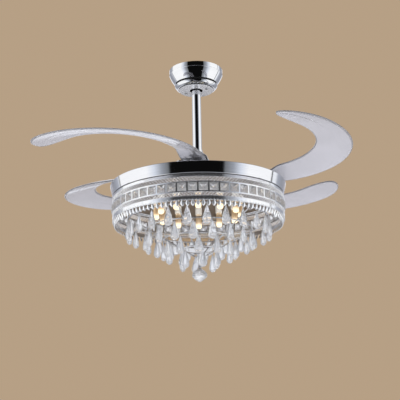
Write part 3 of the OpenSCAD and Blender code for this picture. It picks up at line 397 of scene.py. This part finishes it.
def canopy_pieces():
    """The bowl with a fine bead round it, a near-black ring painted as the shade in the seam, and the cover
    with its sprayed bottom; its groove and rod collar are painted shade too.
    """
    wall_r = CANOPY_R - 0.6
    bead = [(wall_r + BEAD_R * math.cos(t), BEAD_UP - BEAD_R * math.sin(t))
            for t in np.linspace(-1.2, 1.2, 7)]
    side = bezier((wall_r, -15.2), (CANOPY_R - 2.5, -23.0), (BOWL_FOOT_R, BOWL_FOOT + 1.5), 16)
    outer = [(CANOPY_R, -0.01), (CANOPY_R + 0.2, -6.0)] + bead + side + [(BOWL_FOOT_R - 3.0, BOWL_FOOT + 1.4)]
    inner = [(r - SHEET, z + 0.4) for r, z in outer[::-1]]
    inner[-1] = (CANOPY_R - SHEET, -0.01)
    canopy_part("canopy_shell", outer + inner, chrome, "canopy_bowl", 128)

    # a near-black ring in the gap between bowl and cover: painted shade
    seam = block(BOWL_FOOT_R - 9, BOWL_FOOT - 5, BOWL_FOOT_R - 2.6, BOWL_FOOT + 1.2)
    canopy_part("canopy_seam", seam, painted_gap_shade, "canopy_cover")

    # the cover is drawn about its own edge: the radius of the sprayed disc and the height of its underside
    edge, foot = DISC_R, COVER_FOOT
    shoulder, shoulder_up = BOWL_FOOT_R - 3.3, BOWL_FOOT - 4.2
    wall = bezier((BOWL_FOOT_R - 0.4, shoulder_up), (edge + 8.0, foot + 4.5), (edge + 1.6, foot + 3.2), 18)
    lining = [(r - SHEET, z) for r, z in wall[::-1][3:-1]]
    cover = [(shoulder, shoulder_up)] + wall + [(edge - 0.4, foot + 3.4), (edge - 0.4, foot + 4.6)]
    cover += lining + [(shoulder, shoulder_up - SHEET)]
    canopy_part("cover_wall", cover, chrome, "canopy_cover", 128)

    disc = [(ROD_HOLE_R, foot + 0.1), (edge + 0.2, foot + 0.1), (edge + 0.6, foot + 0.5),
            (edge + 0.6, foot + 1.2), (ROD_HOLE_R, foot + 1.2)]
    canopy_part("cover_disc", disc, disc_metal, "canopy_cover")
    # the groove inside the disc's edge and the collar lining the rod hole are near-black: painted shade
    groove = block(edge - 2.0, foot + 1.2, edge - 0.6, foot + 4.0)
    canopy_part("cover_groove", groove, painted_gap_shade, "canopy_cover")
    collar = [(ROD_HOLE_R, foot + 0.6), (ROD_HOLE_R + 1, foot + 1.4), (ROD_HOLE_R + 1, foot + 13),
              (ROD_HOLE_R, foot + 13)]
    canopy_part("cover_collar", collar, painted_gap_shade, "canopy_cover")


# ---------------------------------------------------------------- the lamp's ring and pierced bands

BAND_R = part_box("stone_band")[1].x / MM
BAND_T = 1.5
FLANGE_R = BAND_R - 11.0
RING_H, RING_WALL = 31.0, 2.0
UPPER_TOP, STONE_TOP, LOWER_TOP, FRINGE_TOP, FRINGE_FOOT = -2.5, -24.0, -50.0, -72.0, -88.0
UPPER_MESH, LOWER_MESH = (-10.2, -22.6), (-51.4, -62.2)
UPPER_DIAMOND_H, LOWER_DIAMOND_H = 9.0, 8.4
LAP = 0.2
STONES = 54
DIAMONDS = 3 * STONES
STRUT_R, HOOP_WIRE, CROSSING_BEAD = 0.95, 0.9, 1.35
HOOP_STEPS = 240


def mirror_ring():
    """The lamp's tall polished ring: a leaning wall with tight edges, and a flange at its foot."""
    top_r, foot_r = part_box("polished_ring")[1].x / MM, BAND_R + 0.6
    outline = [(FLANGE_R, 0), (foot_r - 0.8, 0), (foot_r, 0.8), (top_r - 0.1, RING_H - 1.0),
               (top_r - 0.7, RING_H), (top_r - 4, RING_H), (top_r - 4, RING_H - 1.5),
               (top_r - RING_WALL, RING_H - 1.5), (foot_r - RING_WALL + 1, RING_WALL), (FLANGE_R, RING_WALL)]
    lamp_piece("mirror_ring", lathe(outline, 256), brushed, "chrome", "polished_ring", 25)


def band_point(angle, up, r):
    """A point at an angle round the band."""
    a = math.radians(angle)
    return (r * math.cos(a), r * math.sin(a), up)


def strip(top, foot, r=BAND_R):
    """A plain round strip of sheet with a slightly eased edge."""
    e, back = 0.25, r - BAND_T
    return lathe([(back, foot), (r - e, foot), (r, foot + e), (r, top - e), (r - e, top), (back, top)])


def hoop(up):
    """A wire round the band."""
    r = BAND_R - 0.3
    a = np.radians(np.arange(HOOP_STEPS) * 360.0 / HOOP_STEPS)
    ring = np.stack([r * np.cos(a), r * np.sin(a), np.full(HOOP_STEPS, up)], 1)
    return tube_along(ring, HOOP_WIRE, 8, closed=True)


def beads(n, up, r, size, phase=0.0):
    """A row of n small beads round the band."""
    verts, faces = ball(size)
    return around((verts + [r, 0, up], faces), n, phase)


def lattice(top, foot, diamond_h):
    """Bars that cross to leave diamonds, a bead on each crossing at mid height, a wire above and below."""
    pitch = 360.0 / DIAMONDS
    mid = (top + foot) / 2
    reach = (top - foot) / diamond_h * pitch / 2
    parts = []
    for lean in (-1, 1):
        for i in range(DIAMONDS):
            centre = (i + 0.5) * pitch
            rise = [(centre + lean * k * reach, mid + k * (top - foot) / 2) for k in (-1, 0, 1)]
            parts.append(tube_along([band_point(a, z, BAND_R - 0.7) for a, z in rise], STRUT_R, 6))
    parts.append(beads(DIAMONDS, mid, BAND_R - 0.3, CROSSING_BEAD, pitch / 2))
    return parts + [hoop(top), hoop(foot)]


def upper_band_pieces():
    """The upper pierced band with its flange, and a near-black strip painted as the shade in the gap between
    it and the ring.
    """
    parts = [lathe(block(FLANGE_R, UPPER_TOP, BAND_R - 4, 0)), strip(UPPER_TOP + LAP, UPPER_MESH[0] + LAP),
             strip(UPPER_MESH[1] - LAP, STONE_TOP + 0.02)]
    lamp_piece("upper_strips", joined(parts), pierced, "pierced_chrome", "upper_band", 40)
    bars = lattice(*UPPER_MESH, UPPER_DIAMOND_H)
    lamp_piece("upper_lattice", joined(bars), lattice_metal, "pierced_chrome", "upper_band", 40)
    # a near-black strip in the gap under the ring: painted shade
    seam = strip(-0.15, UPPER_TOP + 0.1, BAND_R - 1.0)
    lamp_piece("ring_seam", seam, painted_gap_shade, "pierced_chrome", "upper_band", 40)


def lower_band_pieces():
    """The lower pierced band, with a row of beads along its foot."""
    parts = [strip(LOWER_TOP - 0.02, LOWER_MESH[0]), strip(LOWER_MESH[1], FRINGE_TOP)]
    lamp_piece("lower_strips", joined(parts), pierced, "pierced_chrome", "lower_band", 40)
    bars = lattice(*LOWER_MESH, LOWER_DIAMOND_H)
    bars.append(beads(DIAMONDS, FRINGE_TOP + 1.0, BAND_R - 0.2, 1.0))
    lamp_piece("lower_lattice", joined(bars), lattice_metal, "pierced_chrome", "lower_band", 40)


PETALS = 2 * STONES
PETAL_W = 2 * math.pi * BAND_R / PETALS * 0.68
PETAL_LEAN, PETAL_SET, PETAL_T, PETAL_DOME, PETAL_RIB = 5.0, 1.6, 0.7, 1.5, 0.35
FRINGE_RIM = 1.6
# share of the petal's length from its root, and half its width there as a share of the full width
PETAL_OUTLINE = ((0.0, 0.17), (0.08, 0.18), (0.2, 0.30), (0.35, 0.42), (0.5, 0.49), (0.62, 0.5),
                 (0.74, 0.43), (0.86, 0.28), (0.95, 0.12), (1.0, 0.03))


def petal():
    """A leaf hanging point down, domed outwards, with a rib down its middle."""
    length = FRINGE_TOP - FRINGE_FOOT
    across = np.linspace(-1, 1, 7)
    front, back = [], []
    for t, half in PETAL_OUTLINE:
        for u in across:
            y, z = u * half * PETAL_W, FRINGE_TOP - t * length
            dome = PETAL_DOME * (1 - u * u) * (half / 0.5) + (PETAL_RIB if u == 0 else 0.0)
            x = math.sqrt(BAND_R ** 2 - y * y) - PETAL_SET - PETAL_LEAN * t
            front.append((x + dome, y, z))
            back.append((x - PETAL_T + dome * 0.6, y, z))
    rows, cols = len(PETAL_OUTLINE), len(across)
    n = rows * cols
    faces = grid_faces(rows, cols)
    faces += [[n + k for k in f[::-1]] for f in faces]
    for i in range(rows - 1):
        a, b = i * cols, (i + 1) * cols
        faces += [[b, a, n + a, n + b], [a + cols - 1, b + cols - 1, n + b + cols - 1, n + a + cols - 1]]
    for j in range(cols - 1):
        e = (rows - 1) * cols + j
        faces += [[j, j + 1, n + j + 1, n + j], [e + 1, e, n + e, n + e + 1]]
    return np.array(front + back), faces


def fringe_pieces():
    """The row of petals under the lower band, with a bead between each two at their roots."""
    parts = [strip(FRINGE_TOP - 0.02, FRINGE_TOP - FRINGE_RIM), around(petal(), PETALS)]
    parts.append(beads(PETALS, FRINGE_TOP - FRINGE_RIM, BAND_R - 0.6, 1.25, 180 / PETALS))
    lamp_piece("petals", joined(parts), petal_metal, "pierced_chrome", "petal_fringe", 50)


# ---------------------------------------------------------------- crystals

# the rings of a square stone from its point inside to its flat front:
# distance from the axis, half width, half height, and how far its corners are cut
STONE_RINGS = ((BAND_R - 12.5, 0.9, 0.9, 0.3), (BAND_R - 1.6, 12.1, 11.3, 0.05),
               (BAND_R * math.cos(math.pi / STONES) + 0.4, 12.1, 11.3, 2.6), (BAND_R + 4.5, 3.2, 3.2, 1.1))
CORNERS = ((-1, -1), (1, -1), (1, 1), (-1, 1))


def square_stone():
    """A square stone: a cut crown with narrow facets down its corners, and a pyramid behind."""
    verts = []
    for x, half_w, half_h, cut in STONE_RINGS:
        ring = [(x, y * (half_w - cut * k), z * (half_h - cut * (1 - k))) for y, z in CORNERS for k in (0, 1)]
        verts += sorted(ring, key=lambda p: math.atan2(p[2], p[1]))
    rows = len(STONE_RINGS)
    faces = grid_faces(rows, 8, False, True) + [list(range(8)), [(rows - 1) * 8 + k for k in range(8)]]
    return np.array(verts), faces


def stones():
    """The row of square stones in the band's windows."""
    verts, faces = around(square_stone(), STONES)
    up = (STONE_TOP + LOWER_TOP) / 2
    piece("cut_stones", verts + [0, 0, LAMP_Z + up], faces, crystal, "stem", "crystal", ["square_stones"],
          smooth=False)


def faceted(outline, width, length, sides, twist=0.0):
    """A cut crystal with flat sides, down from its top; its outline is (share of length, share of width)."""
    verts = []
    for i, (t, r) in enumerate(outline):
        for k in range(sides):
            a = math.radians(k * 360.0 / sides + twist * i)
            verts.append((r * width * math.cos(a), r * width * math.sin(a), -t * length))
    rows = len(outline)
    faces = [list(range(sides)), [(rows - 1) * sides + k for k in range(sides)][::-1]]
    return np.array(verts), faces + grid_faces(rows, sides, False, True)


DROP_W, DROP_T, DROP_LEN, DROP_SIDES = 25.5, 16.0, 51.0, 8
DROP_OUTLINE = ((0.0, 0.05), (0.03, 0.09), (0.10, 0.14), (0.24, 0.24), (0.42, 0.355), (0.60, 0.45),
                (0.73, 0.495), (0.82, 0.49), (0.90, 0.42), (0.96, 0.29), (1.0, 0.10))
DROPS_STEP, TIER_STEP = 6, 50.0
# where each tier's first drop hangs, in degrees from the front
TIER_PHASES = (6.5, 14.5, -0.5, 11.0)


def drops():
    """Four tiers of flattened drops, each with fewer of them and nearer the axis than the one above."""
    verts, faces = faceted(DROP_OUTLINE, 1.0, DROP_LEN, DROP_SIDES)
    drop = verts * [DROP_T, DROP_W, 1.0]
    for tier, phase in enumerate(TIER_PHASES):
        node = "drops_tier_%d" % (tier + 1)
        share = len(TIER_PHASES) - tier
        verts, tier_faces = around((drop + [TIER_STEP * share, 0, 0], faces), DROPS_STEP * share, phase - 90)
        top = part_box(node)[1].z / MM
        piece("cut_" + node, verts + [0, 0, top], tier_faces, drop_crystal, "stem", "crystal", [node],
              sharp=28)


BALL_D, BALL_SIDES, BALL_TWIST = 43.0, 12, 15
BALL_OUTLINE = ((0.0, 0.10), (0.03, 0.20), (0.12, 0.33), (0.28, 0.45), (0.44, 0.497), (0.56, 0.49),
                (0.70, 0.39), (0.83, 0.25), (0.93, 0.12), (1.0, 0.02))


def finial():
    """The lowest crystal, its facets turned by half a side from row to row."""
    lowest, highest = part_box("finial_ball")
    length = (highest.z - lowest.z) / MM
    verts, faces = faceted(BALL_OUTLINE, BALL_D, length, BALL_SIDES, BALL_TWIST)
    piece("cut_ball", verts + [0, 0, highest.z / MM], faces, crystal, "finial", "crystal", ["finial_ball"],
          smooth=False)


# ---------------------------------------------------------------- clear blades

BLADES = 4
PIVOT_R, PIVOT_A, SWING = 165.0, -16.5, 106.0
BLADE_R, BLADE_ARC, ROOT_ARC, PAD_ARC, EASE_ARC = 206.0, 168.5, 8.0, 8.0, 18.0
ROOT_W, BLADE_W, TIP_LEN, TIP_POWER = 60.0, 98.0, 106.0, 2.2
WIDE_FROM, NARROW_FROM, NARROW_BY = 0.6, 0.8, 0.16
BLADE_T, EDGE_SHARE, EDGE_T = 5.0, 0.06, 0.3
PAD_RISE, BLADE_RISE, RISE_POWER = 2.5, 39.0, 1.4
PITCH_ROOT, PITCH_TIP, CROWN = 21.0, 7.0, 2.5
CREASE, CREASE_AT, CREASE_W = 0.7, 0.03, 1.8
ROOT_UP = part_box("blade_arm_1")[1].z / MM - LAMP_Z
HUB_R, SCREW_HOLE_R = 16.0, 2.6
SCREW_PLACES = ((25.0, -14.0), (25.0, 14.0), (55.0, -12.0), (55.0, 12.0))


def smooth_step(x):
    """An even ease from 0 to 1."""
    t = min(1.0, max(0.0, x))
    return t * t * (3 - 2 * t)


def blade_section(a, n):
    """Points across the blade at an angle past its pivot: n on top from the inner edge out, then n below."""
    s = (a + ROOT_ARC) / (BLADE_ARC + ROOT_ARC)
    widened = 1 - max(0, 1 - s / WIDE_FROM) ** TIP_POWER
    narrowed = (max(0, s - NARROW_FROM) / (1 - NARROW_FROM)) ** 2
    width = ROOT_W + (BLADE_W - ROOT_W) * widened - NARROW_BY * BLADE_W * narrowed
    to_tip = max(0.0, 1 - math.radians(BLADE_ARC - a) * BLADE_R / TIP_LEN)
    tip = math.sqrt(max(0.0004, 1 - to_tip ** TIP_POWER))
    off_pad = smooth_step((a - PAD_ARC) / EASE_ARC)
    pitch = math.radians(off_pad * (PITCH_ROOT + (PITCH_TIP - PITCH_ROOT) * s))
    up = ROOT_UP + BLADE_T / 2 + off_pad * (PAD_RISE + BLADE_RISE * s ** RISE_POWER)
    angle = math.radians(-a)
    rows = ([], [])
    for j in range(n):
        share = -math.cos(math.pi * j / (n - 1)) / 2
        edge = min(1.0, (0.5 - abs(share)) / EDGE_SHARE)
        half = BLADE_T / 2 * (EDGE_T + (1 - EDGE_T) * math.sqrt(edge * (2 - edge)))
        crown = off_pad * CROWN * (1 - 4 * share * share) * tip
        groove = math.exp(-((share - CREASE_AT) * BLADE_W / CREASE_W) ** 2)
        crease = CREASE * off_pad * groove * smooth_step((tip - 0.3) / 0.3)
        u = share * width * tip
        for side, row in ((1, rows[0]), (-1, rows[1])):
            rise = side * (half - 0.1 * off_pad) + crown - crease
            r = BLADE_R + u * math.cos(pitch) + rise * math.sin(pitch)
            row.append((r * math.cos(angle) - PIVOT_R, r * math.sin(angle),
                        up - u * math.sin(pitch) + rise * math.cos(pitch)))
    return rows[0] + rows[1][::-1]


def blade_mesh(stations=150, n=41):
    """A blade about its pivot, with sections closer together towards the tip."""
    t = np.linspace(0, 1, stations)
    angles = -ROOT_ARC + (BLADE_ARC + ROOT_ARC) * (1 - (1 - t) ** 1.35)
    verts = np.array([p for a in angles for p in blade_section(a, n)])
    faces = grid_faces(stations, 2 * n, False, True)
    faces += [list(range(2 * n))[::-1], [(stations - 1) * 2 * n + k for k in range(2 * n)]]
    return verts, [f[::-1] for f in faces]


def bored(name, part, holes):
    """The part with round holes through it; holes are (x, y, radius)."""
    cutters = []
    for x, y, r in holes:
        verts, faces = lathe(block(0.001, -20, r, 60), 48)
        cutters.append((verts + [x, y, ROOT_UP], faces))
    blank = mesh_object(name, *part)
    tool = mesh_object(name + "_holes", *joined(cutters))
    cut = blank.modifiers.new("holes", "BOOLEAN")
    cut.object, cut.operation, cut.solver = tool, "DIFFERENCE", "EXACT"
    graph = bpy.context.evaluated_depsgraph_get()
    done = bpy.data.meshes.new_from_object(blank.evaluated_get(graph))
    points = np.array([v.co for v in done.vertices]) / MM
    polygons = [list(p.vertices) for p in done.polygons]
    bpy.data.objects.remove(blank)
    bpy.data.objects.remove(tool)
    return points, polygons


def blades():
    """Four blades, opened out from the lamp about their pivots."""
    holes = [(0.0, 0.0, HUB_R - 1)] + [(x, y, SCREW_HOLE_R) for x, y in SCREW_PLACES]
    verts, faces = bored("blade_blank", blade_mesh(), holes)
    for i in range(BLADES):
        placed = turned(verts, SWING) + [PIVOT_R, 0, LAMP_Z]
        placed = turned(placed, PIVOT_A + 360.0 * i / BLADES)
        node, body = "blade_%d" % (i + 1), "blade_unit_%d" % (i + 1)
        piece("clear_" + node, placed, faces, acrylic, body, "clear_acrylic", [node], sharp=35)


canopy_pieces()
mirror_ring()
upper_band_pieces()
lower_band_pieces()
fringe_pieces()
stones()
drops()
finial()
blades()

# ---------------------------------------------------------------- stage, light and camera

FLOOR_HALF, FLOOR_UP = 4500.0, -3400.0
LIGHT_SIZE, LIGHT_TINT = 3.6, (0.97, 0.97, 1.0)


def hide_from_mirrors(obj):
    """Reflections and glass show the studio's world alone."""
    obj.visible_glossy = False
    obj.visible_transmission = False


def stage_floor():
    """A plain pale floor far below the fan."""
    h = FLOOR_HALF
    corners = [(-h, -h, FLOOR_UP), (h, -h, FLOOR_UP), (h, h, FLOOR_UP), (-h, h, FLOOR_UP)]
    floor = mesh_object("floor", corners, [(0, 1, 2, 3)])
    paint = tinted("floor_paint", (0.84, 0.82, 0.80), (0.88, 0.86, 0.84), (0.6, 0.7), scale=3.0)
    floor.data.materials.append(paint)
    hide_from_mirrors(floor)


def soft_light(name, place, power):
    """A wide soft light aimed at the lamp, for what is lit and not mirrored."""
    data = bpy.data.lights.new(name, "AREA")
    data.shape, data.size, data.energy, data.color = "DISK", LIGHT_SIZE, power, LIGHT_TINT
    light = added(name, data)
    light.location = place
    aim = Vector((0, 0, LAMP_Z * MM)) - Vector(place)
    light.rotation_euler = aim.to_track_quat("-Z", "Y").to_euler()
    light.visible_camera = False
    hide_from_mirrors(light)


BACKDROP = (0.470, 0.350, 0.235)
BEHIND, REAR_FLOOR = (0.95, 0.97, 1.04), (0.46, 0.44, 0.45)
CEILING, BELOW = (0.14, 0.14, 0.15), (0.42, 0.43, 0.46)
SHADE, OPENING = (0.34, 0.35, 0.39), grey(0.004)
EDGE_PALE, EDGE_MID, EDGE_DARK = (0.80, 0.84, 0.92), (0.36, 0.38, 0.42), (0.19, 0.20, 0.21)
# the studio's walls, by the angle round the lamp from the front, positive to the right: a dark opening
# in front, bright walls beside it, a thin dark line on each side, shade, and a bright wall behind
WALLS = (
    (-180, BEHIND), (-163, BEHIND), (-152, SHADE), (-137, SHADE), (-125, (0.48, 0.50, 0.56)),
    (-122.4, (0.95, 0.97, 1.0)), (-121.8, grey(0.01)), (-119.9, grey(0.01)), (-119.3, grey(1.08)),
    (-68, grey(1.10)), (-57, EDGE_PALE), (-46, EDGE_MID), (-37, EDGE_DARK), (-35, OPENING),
    (33, OPENING), (35, EDGE_DARK), (46, EDGE_MID), (57, EDGE_PALE), (68, grey(1.10)),
    (108.8, grey(1.08)), (109.4, grey(0.02)), (111.0, grey(0.02)), (111.6, (0.98, 1.0, 1.04)),
    (119, (0.95, 0.97, 1.0)), (125, (0.42, 0.44, 0.50)), (137, SHADE), (152, SHADE), (163, BEHIND),
    (180, BEHIND))


def studio_world():
    """A pale backdrop for the camera; for reflections, the studio's walls with a dim ceiling and floor."""
    world = bpy.data.worlds.new("studio")
    bpy.context.scene.world = world
    t = Nodes(world)

    def calc(op, *values):
        n = t.node("ShaderNodeMath", operation=op)
        for socket, value in zip(n.inputs, values):
            if isinstance(value, (int, float)):
                socket.default_value = value
            else:
                t.link(value, socket)
        return n.outputs[0]

    def fade(value, start, end):
        """A soft step from 0 at start to 1 at end."""
        n = t.node("ShaderNodeMapRange", interpolation_type="SMOOTHSTEP")
        n.inputs["From Min"].default_value = start
        n.inputs["From Max"].default_value = end
        t.link(value, n.inputs["Value"])
        return n.outputs[0]

    def blend(amount, low, colour):
        n = t.node("ShaderNodeMix", data_type="RGBA")
        n.inputs["B"].default_value = (*colour, 1.0)
        t.link(amount, n.inputs["Factor"])
        t.link(low, n.inputs["A"])
        return n.outputs[2]

    split = t.node("ShaderNodeSeparateXYZ")
    t.link(t.node("ShaderNodeTexCoord").outputs["Generated"], split.inputs[0])
    x, y, up = split.outputs
    down = calc("MULTIPLY", up, -1.0)
    turn = calc("ARCTAN2", x, calc("MULTIPLY", y, -1.0))
    place = calc("MULTIPLY_ADD", turn, 1 / (2 * math.pi), 0.5)
    colour = t.ramp(place, [(angle / 360 + 0.5, value) for angle, value in WALLS])
    colour = blend(fade(up, 0.62, 0.85), colour, CEILING)
    rear = fade(calc("ABSOLUTE", turn), math.radians(158), math.radians(168))
    colour = blend(calc("MULTIPLY", rear, fade(down, 0.0, 0.08)), colour, REAR_FLOOR)
    colour = blend(fade(down, 0.86, 0.93), colour, BELOW)
    colour = blend(t.node("ShaderNodeLightPath").outputs["Is Camera Ray"], colour, BACKDROP)
    background = t.node("ShaderNodeBackground")
    t.link(colour, background.inputs["Color"])
    t.link(background.outputs[0], t.node("ShaderNodeOutputWorld").inputs[0])


CAMERA_PITCH, CAMERA_ROLL, CAMERA_LENS = 15.50, 1.108, 85.275
CAMERA_PLACE = (0.0049, -2.6, -1.1156)


def camera():
    """The photograph's view: from below and in front, a little rolled."""
    pitch, roll = math.radians(CAMERA_PITCH), math.radians(CAMERA_ROLL)
    data = bpy.data.cameras.new("camera")
    data.lens = CAMERA_LENS
    data.sensor_width = 36.0
    data.sensor_fit = "HORIZONTAL"
    cam = added("camera", data)
    cp, sp, cr, sr = math.cos(pitch), math.sin(pitch), math.cos(roll), math.sin(roll)
    right, up, back = (cr, sr * sp, -sr * cp), (sr, -cr * sp, cr * cp), (0, -cp, -sp)
    m = Matrix.Identity(4)
    for row in range(3):
        m[row][0], m[row][1], m[row][2] = right[row], up[row], back[row]
    m.translation = CAMERA_PLACE
    cam.matrix_world = m
    bpy.context.scene.camera = cam


stage_floor()
soft_light("front_fill", (0.0, -1.6, -2.2), 145.0)
soft_light("rear_fill", (0.0, 1.9, 1.9), 40.0)
studio_world()
camera()
bpy.context.scene.view_settings.view_transform = "Standard"
